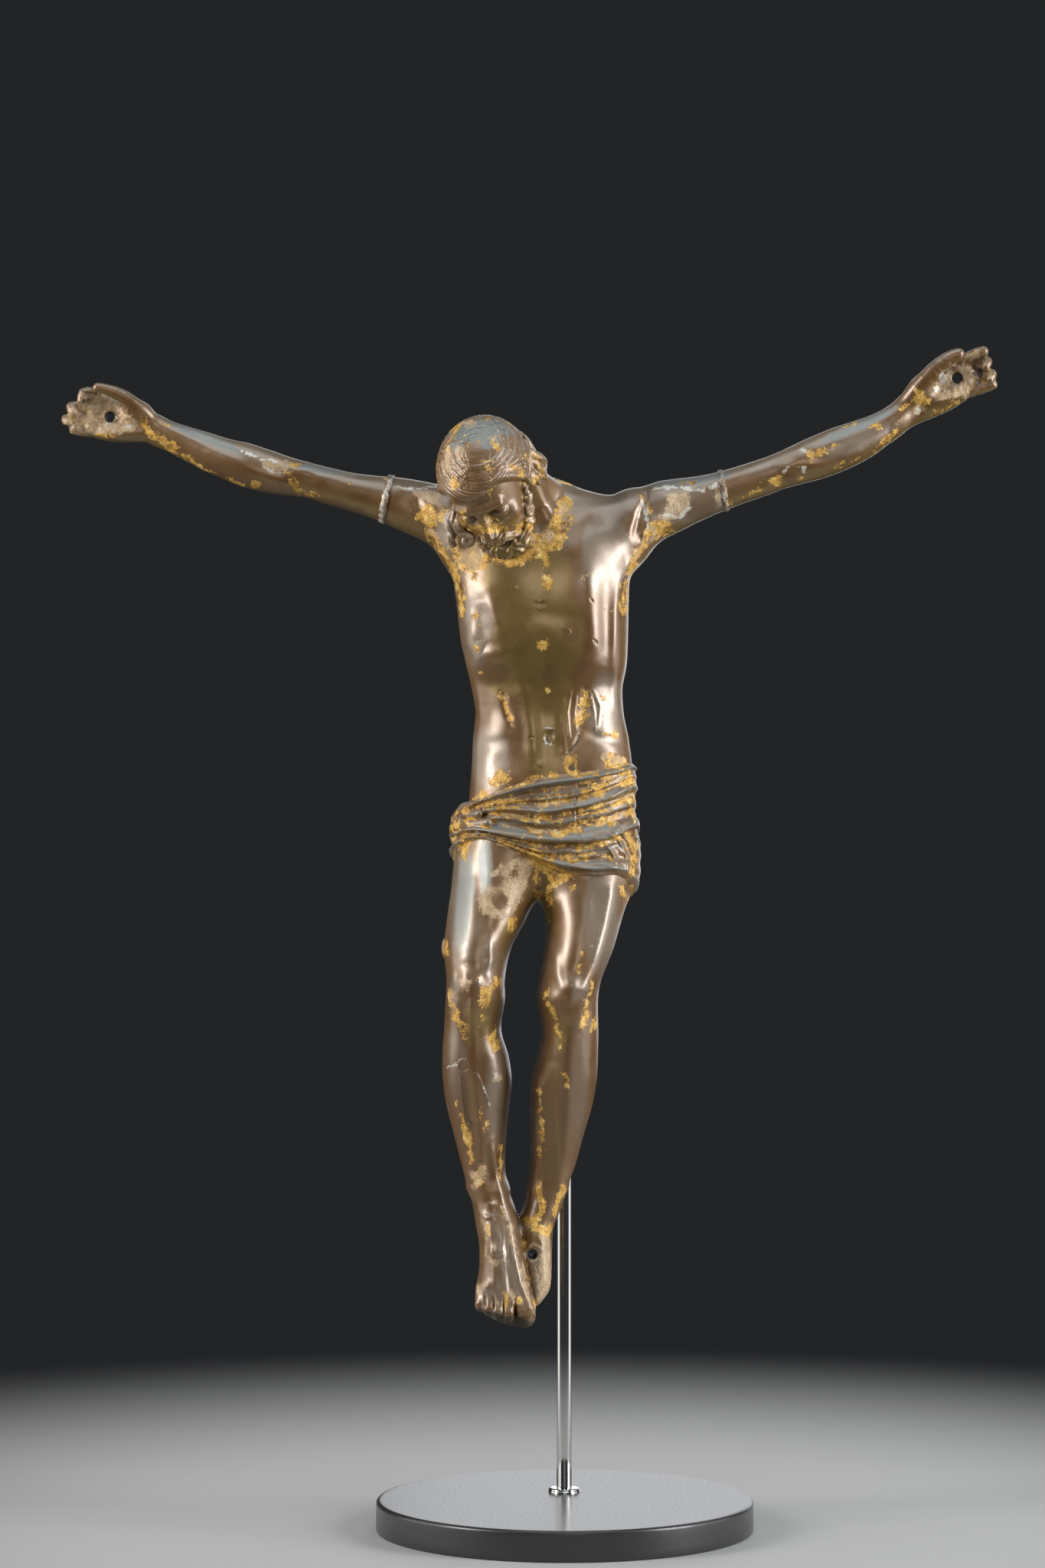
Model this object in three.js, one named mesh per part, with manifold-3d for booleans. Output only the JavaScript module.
// A cast bronze corpus figure on a plain steel display stand.
// Units are millimetres, +Z up. The figure faces -Y. The origin is the centre of the foot's underside.
//
// The figure is three castings: the body (head, torso, loincloth, legs and feet in one) and the two
// arms, which meet the stubs of the upper arms at a flat joint. A bent steel rod stands in the round
// foot, rises behind the figure and ends in a peg that enters a drilled socket in its back.
import * as THREE from 'three';
import { LoftGeometry } from 'three/addons/geometries/LoftGeometry.js';
import { mergeVertices } from 'three/addons/utils/BufferGeometryUtils.js';
import Module from 'manifold-3d';

const wasm = await Module();
wasm.setup();

// ---------------------------------------------------------------- driving dimensions
const FOOT_RADIUS = 62;
const FOOT_HEIGHT = 10;
const FOOT_CHAMFER = 1.2;
const ROD_RADIUS = 2.5;
const ROD_Y = 14; // the rod's axis, behind the foot's centre
const ROD_BOTTOM = 2.4; // the rod stands in a blind bore
const PEG_Z = 308; // height of the peg that carries the figure
const BEND_RADIUS = 4.5;
const PEG_TIP_Y = 1.5;
const GAP = 0.3; // clearance between separate pieces
const NAIL_RADIUS = 1.55; // holes through the palms and the left foot
const JOINT_RIGHT = { at: new THREE.Vector3(-58.4, 0, 338), normal: new THREE.Vector3(-0.975, 0, 0.22) };
const JOINT_LEFT = { at: new THREE.Vector3(51.9, 0, 340), normal: new THREE.Vector3(0.985, 0, 0.17) };

// Cross sections. Torso, legs and feet: [z, centre x, centre y, half width, half depth].
const TORSO = [
  [341.5, -5.5, -8.0, 11.0, 7.0],
  [338.5, -6.0, -8.0, 20.0, 11.5],
  [334.0, -6.5, -8.5, 26.0, 16.0],
  [327.5, -7.0, -9.0, 29.0, 19.0],
  [319.8, -7.0, -10.0, 29.5, 19.4],
  [311.0, -7.6, -10.6, 28.9, 19.4],
  [301.0, -7.2, -10.8, 28.0, 19.4],
  [286.0, -6.2, -10.5, 26.5, 19.0],
  [276.0, -5.9, -9.8, 24.6, 16.2],
  [268.5, -5.1, -9.5, 24.1, 15.0],
  [259.8, -4.6, -9.5, 25.6, 15.2],
  [249.8, -4.3, -9.6, 26.0, 15.8],
  [238.5, -4.7, -9.4, 26.8, 16.6],
  [227.2, -5.3, -9.2, 27.9, 16.6],
  [217.2, -6.0, -8.6, 27.7, 16.0],
  [209.0, -6.9, -7.8, 24.6, 13.0],
];
const RIGHT_LEG = [
  [228.5, -20.0, -7.5, 12.0, 16.0],
  [219.0, -21.2, -8.5, 14.0, 18.0],
  [211.0, -22.9, -10.5, 14.1, 18.5],
  [201.1, -25.6, -13.5, 12.8, 18.6],
  [191.3, -28.5, -16.8, 10.8, 17.6],
  [181.4, -29.1, -19.8, 9.4, 15.6],
  [175.3, -29.2, -20.0, 9.6, 14.8],
  [165.2, -30.1, -18.0, 9.2, 13.6],
  [156.3, -29.2, -14.8, 10.7, 15.0],
  [148.2, -28.6, -12.5, 11.1, 15.4],
  [139.8, -28.4, -10.5, 10.1, 14.2],
  [129.7, -27.6, -9.5, 8.4, 12.0],
  [119.6, -26.5, -8.5, 7.0, 9.8],
  [112.0, -24.9, -8.0, 6.4, 9.4],
];
const LEFT_LEG = [
  [228.5, 7.8, -7.5, 12.5, 16.0],
  [219.0, 7.7, -7.6, 14.9, 18.0],
  [211.0, 6.5, -10.0, 15.0, 18.0],
  [201.1, 6.1, -13.0, 12.3, 18.2],
  [191.2, 4.4, -16.2, 11.0, 17.4],
  [181.4, 1.7, -19.2, 9.9, 15.4],
  [175.3, 0.7, -20.0, 9.9, 14.8],
  [165.2, 1.6, -18.0, 9.1, 13.6],
  [156.3, 0.8, -14.8, 9.8, 15.0],
  [148.2, -0.4, -12.5, 10.6, 15.4],
  [139.8, -1.4, -10.5, 10.1, 14.2],
  [129.6, -2.7, -8.5, 8.5, 12.0],
  [119.4, -4.3, -6.5, 7.4, 9.8],
  [111.8, -6.1, -5.0, 6.1, 8.8],
];
const RIGHT_FOOT = [
  [113.8, -25.4, -8.0, 6.2, 9.4],
  [106.9, -23.3, -7.0, 6.8, 12.0],
  [100.6, -21.8, -7.2, 7.2, 14.2],
  [93.9, -20.5, -9.4, 7.5, 13.4],
  [87.4, -20.1, -12.6, 7.9, 11.2],
  [81.1, -20.2, -16.0, 8.7, 8.2],
  [76.3, -19.8, -18.2, 9.3, 5.8],
];
const LEFT_FOOT = [
  [113.5, -5.6, -5.0, 6.2, 8.8],
  [106.6, -7.5, -3.6, 6.5, 9.8],
  [100.2, -8.8, -2.4, 6.7, 10.2],
  [93.2, -10.1, -3.2, 6.4, 8.8],
  [86.6, -10.0, -4.6, 6.6, 6.6],
  [80.0, -9.8, -5.8, 6.6, 4.8],
  [76.0, -10.4, -6.5, 6.0, 3.8],
];
// Arms: [x, centre y, centre z, half depth, half height].
const RIGHT_ARM = [
  [-22.0, -8.5, 324.0, 9.0, 11.0],
  [-30.0, -8.0, 326.5, 12.0, 14.0],
  [-36.0, -7.0, 329.7, 13.5, 13.0],
  [-42.1, -6.0, 333.1, 12.6, 10.7],
  [-48.4, -5.0, 335.2, 11.0, 9.5],
  [-54.6, -4.5, 337.0, 9.6, 8.5],
  [-62.2, -4.5, 339.0, 8.2, 6.9],
  [-69.7, -4.5, 340.6, 7.4, 6.3],
  [-77.2, -4.2, 342.6, 6.8, 6.0],
  [-84.8, -3.8, 344.7, 6.2, 5.8],
  [-89.8, -3.5, 345.8, 6.4, 6.2],
  [-96.1, -3.5, 347.3, 7.0, 6.9],
  [-103.7, -3.0, 349.4, 7.2, 7.2],
  [-110.0, -2.4, 351.2, 6.8, 6.9],
  [-117.6, -1.6, 354.1, 6.0, 6.4],
  [-125.2, -0.9, 357.2, 5.0, 5.5],
  [-131.5, -0.5, 360.2, 4.4, 4.9],
  [-137.5, 0.0, 362.6, 4.2, 4.7],
];
const LEFT_ARM = [
  [9.0, -8.5, 324.0, 9.0, 11.0],
  [16.0, -8.0, 327.0, 12.0, 13.4],
  [20.6, -7.0, 329.8, 13.4, 12.4],
  [25.6, -6.0, 332.0, 12.6, 10.8],
  [30.7, -5.5, 334.2, 11.6, 9.9],
  [36.9, -5.0, 336.2, 10.2, 8.7],
  [44.5, -4.8, 338.6, 8.7, 7.3],
  [52.0, -4.5, 341.1, 7.5, 6.5],
  [59.6, -4.2, 343.7, 6.8, 6.3],
  [67.1, -3.8, 346.3, 6.2, 6.2],
  [72.2, -3.5, 348.4, 6.4, 6.2],
  [78.4, -3.5, 350.7, 7.0, 7.0],
  [86.0, -3.0, 353.3, 7.4, 7.5],
  [93.6, -2.5, 356.1, 7.0, 7.3],
  [101.2, -1.6, 359.7, 6.1, 6.6],
  [107.6, -0.9, 363.8, 5.0, 5.9],
  [113.5, -0.2, 368.0, 4.5, 5.6],
];
// Loincloth: edge heights round the hips by angle (0 at +X, -90 at the front, 180 at -X, 90 behind).
const CLOTH_TOP = [[-180, 238.5], [-135, 243], [-90, 247], [-45, 249.5], [0, 251.5], [45, 250], [90, 246], [135, 241], [180, 238.5]];
const CLOTH_BOTTOM = [[-180, 223.5], [-135, 222], [-90, 217.5], [-45, 213], [0, 208.5], [45, 209], [90, 212], [135, 217], [180, 223.5]];
const CLOTH_THICKNESS = 1.0;
// Rolled folds that cross the cloth: [angle, height, radius] at each knot of the curve.
const CLOTH_FOLDS = [
  [[-176, 238, 1.6], [-135, 241.6, 2.0], [-90, 245.4, 2.4], [-45, 248.2, 2.3], [-5, 249.8, 2.2]],
  [[-130, 235.5, 1.2], [-95, 238.5, 1.8], [-60, 242.0, 2.0], [-25, 245.3, 2.0], [0, 246.4, 1.8]],
  [[-174, 232, 2.4], [-140, 233.4, 2.4], [-110, 230.5, 2.1], [-80, 229.2, 2.0], [-45, 234.0, 1.6], [-10, 238.0, 1.3]],
  [[-170, 227.5, 2.2], [-140, 228.6, 2.3], [-110, 224.6, 2.6], [-80, 222.6, 2.8], [-50, 224.8, 2.6], [-20, 229.4, 2.2], [5, 231.0, 1.8]],
  [[-85, 216.0, 1.4], [-62, 214.4, 2.2], [-40, 213.6, 2.6], [-15, 210.6, 2.6], [8, 207.8, 2.0]],
];

// ---------------------------------------------------------------- helpers
// A closed solid from any closed geometry, with only its positions kept and shared corners merged.
function solidOf(geometry, matrix) {
  const g = new THREE.BufferGeometry().copy(geometry);
  for (const name of Object.keys(g.attributes)) if (name !== 'position') g.deleteAttribute(name);
  if (matrix) g.applyMatrix4(matrix);
  const merged = mergeVertices(g, 1e-3);
  const make = (flip) => {
    const triVerts = new Uint32Array(merged.index.array);
    if (flip) for (let i = 0; i < triVerts.length; i += 3) [triVerts[i + 1], triVerts[i + 2]] = [triVerts[i + 2], triVerts[i + 1]];
    return new wasm.Manifold(new wasm.Mesh({ numProp: 3, vertProperties: merged.attributes.position.array, triVerts }));
  };
  const made = make(false);
  return made.volume() < 0 ? make(true) : made;
}
function geometryOf(manifold) {
  const m = manifold.getMesh();
  const pos = new Float32Array(m.numVert * 3);
  for (let i = 0; i < m.numVert; i++) for (let k = 0; k < 3; k++) pos[i * 3 + k] = m.vertProperties[i * m.numProp + k];
  const g = new THREE.BufferGeometry();
  g.setAttribute('position', new THREE.BufferAttribute(pos, 3));
  g.setIndex(new THREE.BufferAttribute(new Uint32Array(m.triVerts), 1));
  g.computeVertexNormals();
  return g;
}
const join = (list) => list.reduce((a, b) => a.add(b));

// Smooth value of each column of a table at key t (the first column), by cubic Hermite pieces.
function along(table, t) {
  const n = table.length;
  const up = table[n - 1][0] > table[0][0];
  let i = 0;
  while (i < n - 2 && (up ? t > table[i + 1][0] : t < table[i + 1][0])) i++;
  const slope = (k, c) => {
    const a = Math.max(0, k - 1), b = Math.min(n - 1, k + 1);
    return (table[b][c] - table[a][c]) / (table[b][0] - table[a][0]);
  };
  const h = table[i + 1][0] - table[i][0];
  const s = THREE.MathUtils.clamp((t - table[i][0]) / h, 0, 1);
  return table[i].map((_, c) => {
    if (c === 0) return t;
    const p0 = table[i][c], p1 = table[i + 1][c], m0 = slope(i, c) * h, m1 = slope(i + 1, c) * h;
    return p0 * (2 * s ** 3 - 3 * s ** 2 + 1) + m0 * (s ** 3 - 2 * s ** 2 + s) + p1 * (3 * s ** 2 - 2 * s ** 3) + m1 * (s ** 3 - s ** 2);
  });
}
const rounded = (v, n) => Math.sign(v) * Math.abs(v) ** (2 / n);

// One limb: a loft through smooth sections along Z or X, closed by domed ends.
function limb(table, axis, rings, sides, square = 2, domeStart = 0.5, domeEnd = 0.5) {
  const sections = [];
  const ring = (row, scale, shift) => {
    const [t, c1, c2, r1, r2] = row;
    const points = [];
    for (let j = 0; j < sides; j++) {
      const a = (j / sides) * Math.PI * 2;
      const u = rounded(Math.cos(a), square) * r1 * scale, v = rounded(Math.sin(a), square) * r2 * scale;
      points.push(axis === 'z' ? new THREE.Vector3(c1 + u, c2 + v, t + shift) : new THREE.Vector3(t + shift, c1 + u, c2 + v));
    }
    sections.push(table[0][0] < table[table.length - 1][0] ? points : points.reverse());
  };
  const t0 = table[0][0], t1 = table[table.length - 1][0], dir = Math.sign(t1 - t0);
  const first = table[0], last = table[table.length - 1];
  const dome = (row, amount, side) => {
    const depth = Math.min(row[3], row[4]) * amount;
    return [[0.45, side * depth], [0.85, side * depth * 0.5]];
  };
  for (const [s, d] of dome(first, domeStart, -dir)) ring(first, s, d);
  for (let i = 0; i <= rings; i++) ring(along(table, t0 + ((t1 - t0) * i) / rings), 1, 0);
  for (const [s, d] of dome(last, domeEnd, dir).reverse()) ring(last, s, d);
  return solidOf(new LoftGeometry(sections, { capStart: true, capEnd: true }));
}

// A tapered finger, toe or neck: a lathe profile with round ends, laid from a to b.
function taper(a, b, ra, rb, sides = 7) {
  const A = new THREE.Vector3(...a), B = new THREE.Vector3(...b);
  const length = A.distanceTo(B);
  const profile = [new THREE.Vector2(0, -ra)];
  profile.push(new THREE.Vector2(ra * 0.75, -ra * 0.65), new THREE.Vector2(ra, 0));
  profile.push(new THREE.Vector2(rb, length), new THREE.Vector2(rb * 0.75, length + rb * 0.65), new THREE.Vector2(0, length + rb));
  const turn = new THREE.Quaternion().setFromUnitVectors(new THREE.Vector3(0, 1, 0), B.clone().sub(A).normalize());
  return solidOf(new THREE.LatheGeometry(profile, sides), new THREE.Matrix4().compose(A, turn, new THREE.Vector3(1, 1, 1)));
}
// A bar, cord or lock of hair: round sections swept through a smooth curve, with domed ends.
function cord(points, radii, sides = 6, steps = 3) {
  const curve = new THREE.CatmullRomCurve3(points.map((p) => new THREE.Vector3(...p)), false, 'centripetal');
  const count = (points.length - 1) * steps;
  const frames = curve.computeFrenetFrames(count, false);
  const sections = [];
  for (let i = 0; i <= count; i++) {
    const t = i / count, at = curve.getPointAt(t);
    const k = Math.min(radii.length - 2, Math.floor(t * (radii.length - 1))), f = t * (radii.length - 1) - k;
    const radius = radii[k] * (1 - f) + radii[k + 1] * f;
    const ring = (scale, shift) => {
      const points3 = [];
      for (let j = 0; j < sides; j++) {
        const a = (-j / sides) * Math.PI * 2;
        points3.push(at.clone().addScaledVector(frames.tangents[i], shift)
          .addScaledVector(frames.normals[i], Math.cos(a) * radius * scale)
          .addScaledVector(frames.binormals[i], -Math.sin(a) * radius * scale));
      }
      sections.push(points3);
    };
    if (i === 0) ring(0.55, -radius * 0.6);
    ring(1, 0);
    if (i === count) ring(0.55, radius * 0.6);
  }
  return solidOf(new LoftGeometry(sections, { capStart: true, capEnd: true }));
}
function chain(points, radii, sides) {
  const list = [];
  for (let i = 0; i + 1 < points.length; i++) list.push(taper(points[i], points[i + 1], radii[i], radii[i + 1], sides));
  return join(list);
}
// An ellipsoid in a local frame, with an optional relief added to its unit radius.
function ellipsoid(centre, radii, basis, across = 20, down = 14, relief = null) {
  const g = new THREE.SphereGeometry(1, across, down);
  if (relief) {
    const p = g.attributes.position, v = new THREE.Vector3();
    for (let i = 0; i < p.count; i++) {
      v.fromBufferAttribute(p, i);
      const s = 1 + relief(v);
      p.setXYZ(i, v.x * s, v.y * s, v.z * s);
    }
  }
  const m = (basis ? basis.clone() : new THREE.Matrix4()).scale(new THREE.Vector3(...radii));
  m.setPosition(...centre);
  return solidOf(g, m);
}
// The half space beyond a joint plane, as a large box whose face lies on the plane.
function beyond({ at, normal }, offset) {
  const size = 400;
  const turn = new THREE.Quaternion().setFromUnitVectors(new THREE.Vector3(1, 0, 0), normal.clone().normalize());
  const centre = at.clone().addScaledVector(normal.clone().normalize(), offset + size / 2);
  return solidOf(new THREE.BoxGeometry(size, size, size), new THREE.Matrix4().compose(centre, turn, new THREE.Vector3(1, 1, 1)));
}
function borehole(centre, radius, length, direction = new THREE.Vector3(0, 1, 0), sides = 14) {
  const turn = new THREE.Quaternion().setFromUnitVectors(new THREE.Vector3(0, 1, 0), direction);
  return solidOf(new THREE.CylinderGeometry(radius, radius, length, sides), new THREE.Matrix4().compose(new THREE.Vector3(...centre), turn, new THREE.Vector3(1, 1, 1)));
}

// ---------------------------------------------------------------- head
// Local frame of the bowed head: X to the figure's left, Y out of the face, Z to the crown.
const HEAD_CENTRE = new THREE.Vector3(-25.2, -29.5, 344.4);
const HEAD_BOW = 50, HEAD_LEAN = 26, HEAD_TURN = 12; // degrees: forward, to the right shoulder, about the neck
const headBasis = (() => {
  const rad = THREE.MathUtils.degToRad;
  const start = new THREE.Matrix4().makeBasis(new THREE.Vector3(1, 0, 0), new THREE.Vector3(0, -1, 0), new THREE.Vector3(0, 0, 1));
  const bow = new THREE.Matrix4().makeRotationX(rad(HEAD_BOW));
  const lean = new THREE.Matrix4().makeRotationY(rad(-HEAD_LEAN));
  const turn = new THREE.Matrix4().makeRotationZ(rad(HEAD_TURN));
  return lean.multiply(bow).multiply(start).multiply(turn);
})();
// makeBasis above mirrors, so points are placed by this function and solids are turned outward by solidOf.
const inHead = (x, y, z) => new THREE.Vector3(x, y, z).applyMatrix4(headBasis).add(HEAD_CENTRE).toArray();

function headSolid() {
  const wave = (v) => 0.028 * Math.sin(16 * Math.acos(THREE.MathUtils.clamp(v.y * 0.75 + v.z * 0.66, -1, 1)));
  const list = [
    ellipsoid(inHead(0, -1.5, 3.0), [15.8, 16.6, 14.2], headBasis, 16, 11, wave), // hair over the skull
    ellipsoid(inHead(0, 3.5, -2.5), [11.4, 12.6, 14.0], headBasis, 12, 9), // brow, cheeks
    ellipsoid(inHead(0, 5.5, -12.0), [8.6, 8.6, 8.4], headBasis, 10, 8), // jaw
    ellipsoid(inHead(0, 7.0, -17.0), [7.0, 6.4, 7.0], headBasis, 14, 10, (v) => 0.07 * Math.sin(9 * Math.atan2(v.x, v.y))), // beard
    taper(inHead(0, 14.6, 0.8), inHead(0, 18.6, -5.6), 1.3, 1.9, 8), // nose
    taper(inHead(-5.6, 13.2, 2.2), inHead(5.6, 13.2, 2.2), 1.5, 1.5, 8), // brow ridge
    taper(inHead(-2.6, 14.8, -9.4), inHead(2.6, 14.8, -9.4), 1.4, 1.4, 8), // moustache and mouth
  ];
  // hair behind the ears and falling to the shoulders
  list.push(cord([inHead(-12.0, -2, 2), inHead(-13.0, -3, -7), inHead(-11.0, -3, -15), [-37.5, -19, 325]], [3.4, 3.8, 3.2, 2.2], 7, 2));
  list.push(cord([inHead(12.2, -3, 2), inHead(12.2, -5, -7), [-8.0, -14, 342], [1.5, -8, 338]], [3.4, 3.6, 3.2, 2.2], 7, 2));
  list.push(cord([inHead(2, -14, 0), inHead(6, -13, -9), [-5.0, -7, 340]], [5.0, 5.0, 4.0], 7, 2));
  return join(list);
}

// ---------------------------------------------------------------- loincloth
const hip = (z) => along(TORSO, z);
function onHip(angle, z, out) {
  const [, cx, cy, rx, ry] = hip(z);
  const a = THREE.MathUtils.degToRad(angle);
  return [cx + rounded(Math.cos(a), 2.2) * (rx + out), cy + rounded(Math.sin(a), 2.2) * (ry + out), z];
}
function clothSolid() {
  const around = 24, levels = 2, sections = [];
  const row = (v, out) => {
    const points = [];
    for (let j = 0; j < around; j++) {
      const angle = -180 + (360 * j) / around;
      const top = along(CLOTH_TOP, angle)[1], bottom = along(CLOTH_BOTTOM, angle)[1];
      points.push(new THREE.Vector3(...onHip(angle, bottom + (top - bottom) * v, out)));
    }
    return points;
  };
  sections.push(row(-0.04, -2.5));
  for (let i = 0; i <= levels; i++) sections.push(row(i / levels, CLOTH_THICKNESS + 0.35 * Math.sin(i * 2.4)));
  sections.push(row(1.04, -2.5));
  const wrap = solidOf(new LoftGeometry(sections, { capStart: true, capEnd: true }));
  const folds = CLOTH_FOLDS.map((knots) => {
    const points = [], radii = [];
    const steps = (knots.length - 1) * 2;
    for (let i = 0; i <= steps; i++) {
      const angle = knots[0][0] + ((knots[knots.length - 1][0] - knots[0][0]) * i) / steps;
      const [, z, r] = along(knots, angle);
      points.push(onHip(angle, z, CLOTH_THICKNESS - 0.2));
      radii.push(r);
    }
    return cord(points, radii, 5, 1);
  });
  // the gathered end at the right hip, and the end that falls behind the thigh
  const gather = join([
    cord([[-28.5, -20, 234], [-33.4, -11, 232.5], [-34.4, -4, 228], [-33.0, 1.5, 220]], [2.4, 3.0, 3.0, 2.2], 7, 2),
    cord([[-32.6, 0, 226], [-34.0, 3.2, 212], [-36.2, 4.4, 200], [-37.4, 3.2, 193]], [2.6, 2.4, 2.0, 1.5], 6, 1),
  ]);
  return join([wrap, ...folds, gather]);
}

// ---------------------------------------------------------------- hands and feet
function rightHand() {
  const palm = limb([[-134, 0.2, 361.6, 3.8, 4.4], [-140, 0.4, 363.6, 3.4, 6.2], [-146, 0.6, 364.8, 2.9, 7.5], [-152, 0.8, 365.6, 2.8, 7.4], [-157, 0.8, 366.0, 2.6, 6.0]], 'x', 5, 10, 2.3);
  return join([
    palm,
    cord([[-135.5, -2.0, 363.5], [-142.0, -4.0, 370.0], [-147.6, -5.6, 373.2], [-153.0, -6.4, 374.9]], [2.4, 2.2, 1.8, 1.6], 6, 2),
    cord([[-152.0, 0.5, 370.2], [-157.8, -2.2, 372.3], [-157.6, -6.4, 370.7]], [2.2, 2.1, 1.8], 6, 2),
    cord([[-153.0, 0.9, 367.4], [-161.4, -1.4, 367.9], [-161.0, -6.2, 366.7]], [2.2, 2.1, 1.8], 6, 2),
    cord([[-153.0, 0.9, 364.2], [-163.8, -0.6, 364.4], [-163.6, -4.8, 364.0]], [2.1, 2.0, 1.8], 6, 2),
    cord([[-152.0, 0.6, 360.8], [-160.2, -1.0, 361.0], [-161.0, -4.4, 361.2]], [2.1, 1.9, 1.7], 6, 2),
  ]).subtract(borehole([-149.2, 0, 365.4], NAIL_RADIUS, 24));
}
function leftHand() {
  const palm = limb([[110, -0.2, 366.6, 4.2, 5.2], [116, 0.2, 370.1, 3.7, 6.6], [122, 0.5, 373.4, 3.0, 7.7], [128, 0.7, 376.0, 2.8, 8.2], [133.5, 0.7, 378.2, 2.6, 6.8]], 'x', 5, 10, 2.3);
  return join([
    palm,
    cord([[113.5, -2.0, 370.0], [119.0, -4.0, 377.2], [124.2, -5.4, 382.4], [129.0, -6.2, 384.8]], [2.8, 2.6, 2.2, 1.9], 6, 2),
    cord([[127.5, 0.4, 381.0], [132.4, -1.6, 384.6], [136.8, -3.4, 386.4]], [2.2, 2.0, 1.8], 6, 2),
    cord([[130.0, 0.9, 379.6], [138.4, -1.6, 382.7], [137.6, -6.0, 381.2]], [2.2, 2.1, 1.8], 6, 2),
    cord([[130.0, 0.9, 376.8], [139.6, -1.4, 379.6], [138.8, -5.6, 378.4]], [2.1, 2.0, 1.8], 6, 2),
    cord([[128.0, 0.6, 373.2], [134.8, -0.4, 374.2], [140.6, -1.6, 375.2]], [2.2, 2.0, 1.7], 6, 2),
  ]).subtract(borehole([128.7, 0, 378.2], NAIL_RADIUS, 24));
}
// Toes in a row from the little toe to the great toe: [x, y, top z, tip z, radius].
const RIGHT_TOES = [[-27.4, -18.2, 78.0, 72.6, 1.6], [-24.4, -19.2, 77.5, 70.6, 1.8], [-20.8, -19.8, 77.0, 69.0, 1.9], [-16.8, -20.2, 77.0, 68.0, 2.0], [-12.4, -20.0, 77.5, 67.8, 2.6]];
const LEFT_TOES = [[-5.2, -5.4, 82.0, 77.0, 1.6], [-6.8, -6.4, 80.0, 74.0, 1.7], [-8.8, -6.9, 79.0, 71.4, 1.8], [-11.4, -7.0, 78.0, 69.8, 1.8], [-14.8, -6.6, 77.5, 69.0, 2.3]];
const toes = (table) => join(table.map(([x, y, top, tip, r]) => cord([[x * 0.97 - 0.4, y + 1.0, top], [x, y, tip + r * 0.6]], [r * 1.05, r], 5, 1)));

// ---------------------------------------------------------------- the castings
const trunk = join([
  limb(TORSO, 'z', 18, 18, 2.3, 0.3, 0.4),
  limb(RIGHT_LEG, 'z', 14, 10, 2.1, 0.3, 0.2),
  limb(LEFT_LEG, 'z', 14, 10, 2.1, 0.3, 0.2),
  limb(RIGHT_FOOT, 'z', 6, 10, 2.1, 0.2, 0.5),
  limb(LEFT_FOOT, 'z', 6, 10, 2.1, 0.2, 0.5),
  toes(RIGHT_TOES),
  toes(LEFT_TOES),
  clothSolid(),
  headSolid(),
  chain([inHead(0, -5, -6), [-14, -17, 337], [-5, -10, 329]], [7.4, 8.0, 10.0], 10), // neck
  chain([inHead(9, -6, -6), [-5, -12, 340], [8, -8, 333]], [4.2, 4.6, 5.0], 8), // neck muscle to the left shoulder
  taper([-28.6, -8.0, 312.5], [-40.8, -6.5, 331.8], 5.8, 6.9, 9), // folds of the armpits
  taper([15.5, -8.0, 313.0], [26.0, -6.5, 331.0], 5.2, 6.2, 9),
  ellipsoid([-18.5, -22, 313], [10.5, 8.0, 8.5], null, 10, 7), // breast muscles
  ellipsoid([5.5, -22, 314], [10.5, 8.0, 8.5], null, 10, 7),
  ellipsoid([-29.0, -32.5, 176.5], [4.8, 4.6, 5.8], null, 8, 6), // kneecaps
  ellipsoid([1.4, -32.5, 175.0], [4.8, 4.6, 5.8], null, 8, 6),
]);
const rightUpper = limb(RIGHT_ARM, 'x', 17, 10, 2.1, 0.4, 0.3);
const leftUpper = limb(LEFT_ARM, 'x', 17, 10, 2.1, 0.4, 0.3);
const rightWhole = rightUpper.add(rightHand());
const leftWhole = leftUpper.add(leftHand());

const rightArm = rightWhole.intersect(beyond(JOINT_RIGHT, GAP / 2));
const leftArm = leftWhole.intersect(beyond(JOINT_LEFT, GAP / 2));
const body = join([trunk, rightUpper.subtract(beyond(JOINT_RIGHT, -GAP / 2)), leftUpper.subtract(beyond(JOINT_LEFT, -GAP / 2))])
  .subtract(borehole([-10.7, -6, 92.0], NAIL_RADIUS, 60))
  .subtract(borehole([0, PEG_TIP_Y - GAP + 15, PEG_Z], ROD_RADIUS + GAP, 30));

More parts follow.
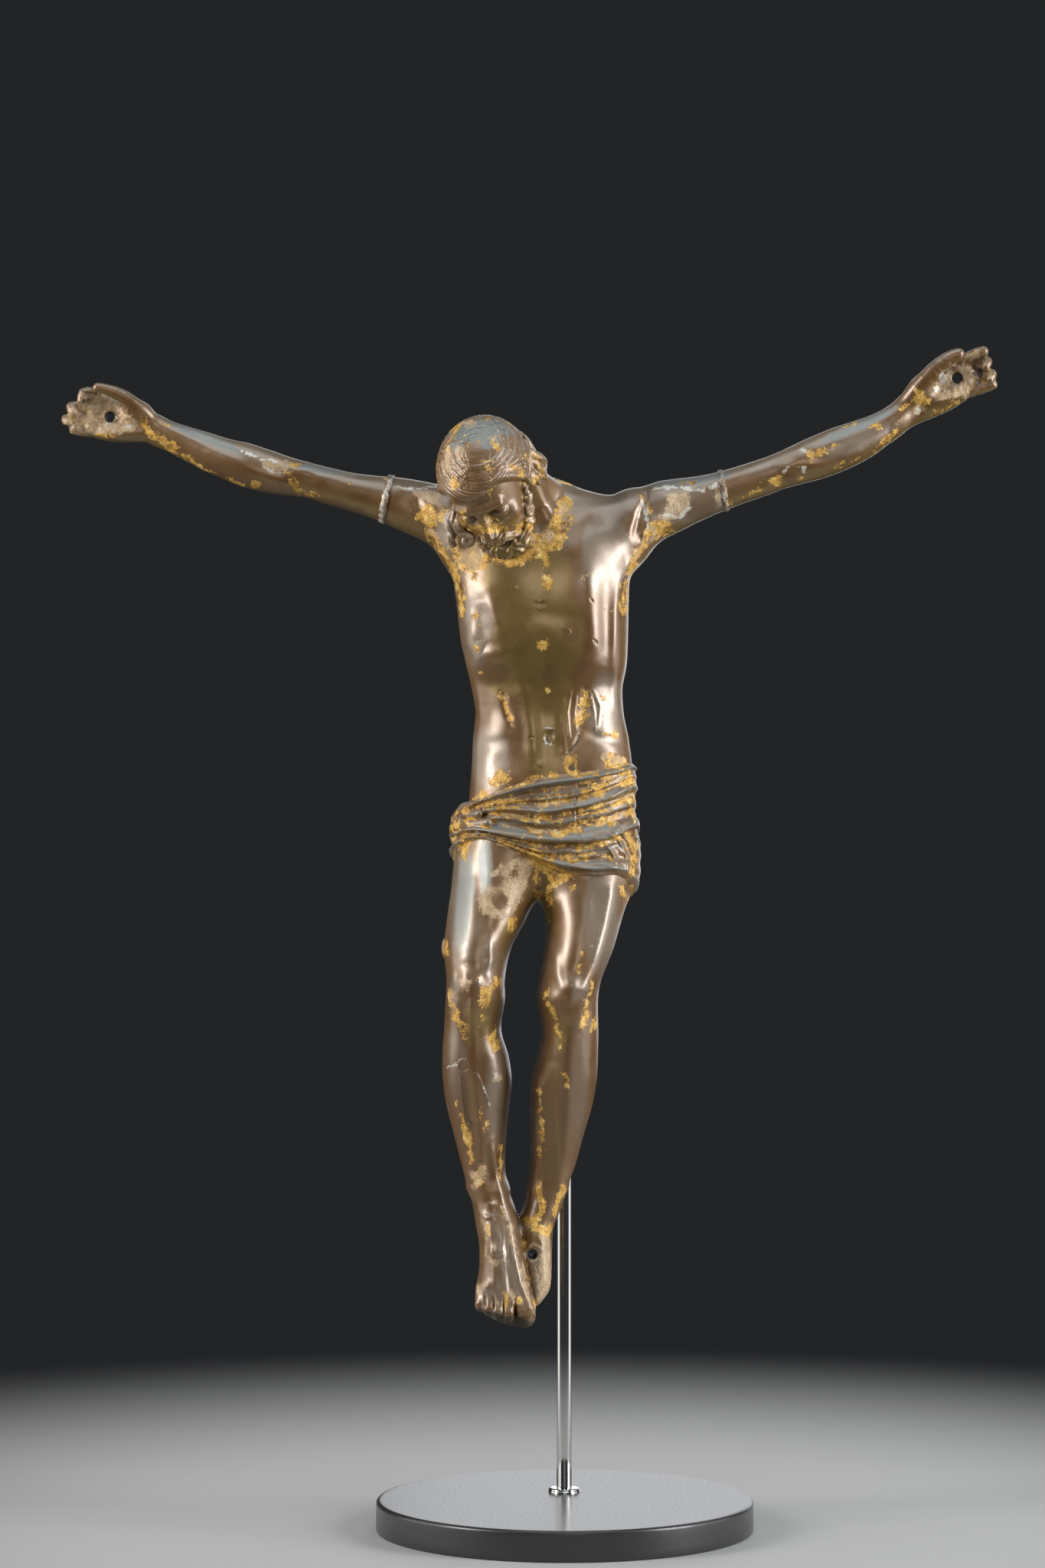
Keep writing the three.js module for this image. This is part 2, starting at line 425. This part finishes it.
// ---------------------------------------------------------------- the stand
// The rod: straight, then a quarter bend, then the peg, all of one round bar.
const rodSection = [];
{
  const ring = (y, z, turn) => {
    const points = [];
    for (let j = 0; j < 16; j++) {
      const a = (j / 16) * Math.PI * 2;
      points.push(new THREE.Vector3(Math.cos(a) * ROD_RADIUS, y + Math.sin(a) * ROD_RADIUS * Math.cos(turn), z + Math.sin(a) * ROD_RADIUS * Math.sin(turn)));
    }
    rodSection.push(points);
  };
  ring(ROD_Y, ROD_BOTTOM, 0);
  for (let i = 0; i <= 6; i++) {
    const a = (Math.PI / 2) * (i / 6);
    ring(ROD_Y - BEND_RADIUS * (1 - Math.cos(a)), PEG_Z - BEND_RADIUS + BEND_RADIUS * Math.sin(a), a);
  }
  ring(PEG_TIP_Y, PEG_Z, Math.PI / 2);
}
const rod = solidOf(new LoftGeometry(rodSection, { capStart: true, capEnd: true }));

const footProfile = [
  [0, 0], [FOOT_RADIUS - FOOT_CHAMFER, 0], [FOOT_RADIUS, FOOT_CHAMFER], [FOOT_RADIUS, FOOT_HEIGHT - FOOT_CHAMFER], [FOOT_RADIUS - FOOT_CHAMFER, FOOT_HEIGHT], [0, FOOT_HEIGHT],
].map(([r, y]) => new THREE.Vector2(r, y));
const foot = solidOf(new THREE.LatheGeometry(footProfile, 48), new THREE.Matrix4().makeRotationX(Math.PI / 2))
  .subtract(borehole([0, ROD_Y, ROD_BOTTOM - GAP + 10], ROD_RADIUS + GAP, 20, new THREE.Vector3(0, 0, 1), 24));

// ---------------------------------------------------------------- scene graph
const bronze = () => new THREE.MeshStandardMaterial({ color: 0x7d6242, roughness: 0.36, metalness: 1 });
const steel = new THREE.MeshStandardMaterial({ color: 0xb9bcc0, roughness: 0.14, metalness: 1 });
const lacquer = new THREE.MeshStandardMaterial({ color: 0x17181a, roughness: 0.4, metalness: 0 });

const group = new THREE.Group();
const figure = new THREE.Group();
const stand = new THREE.Group();
const named = (parent, name, manifold, material) => {
  const mesh = new THREE.Mesh(geometryOf(manifold), material);
  mesh.name = name;
  parent.add(mesh);
};
named(figure, 'figure_body', body, bronze());
named(figure, 'right_arm', rightArm, bronze());
named(figure, 'left_arm', leftArm, bronze());
named(stand, 'stand_rod', rod, steel);
named(stand, 'stand_foot', foot, lacquer);
group.add(figure, stand);

export default group;
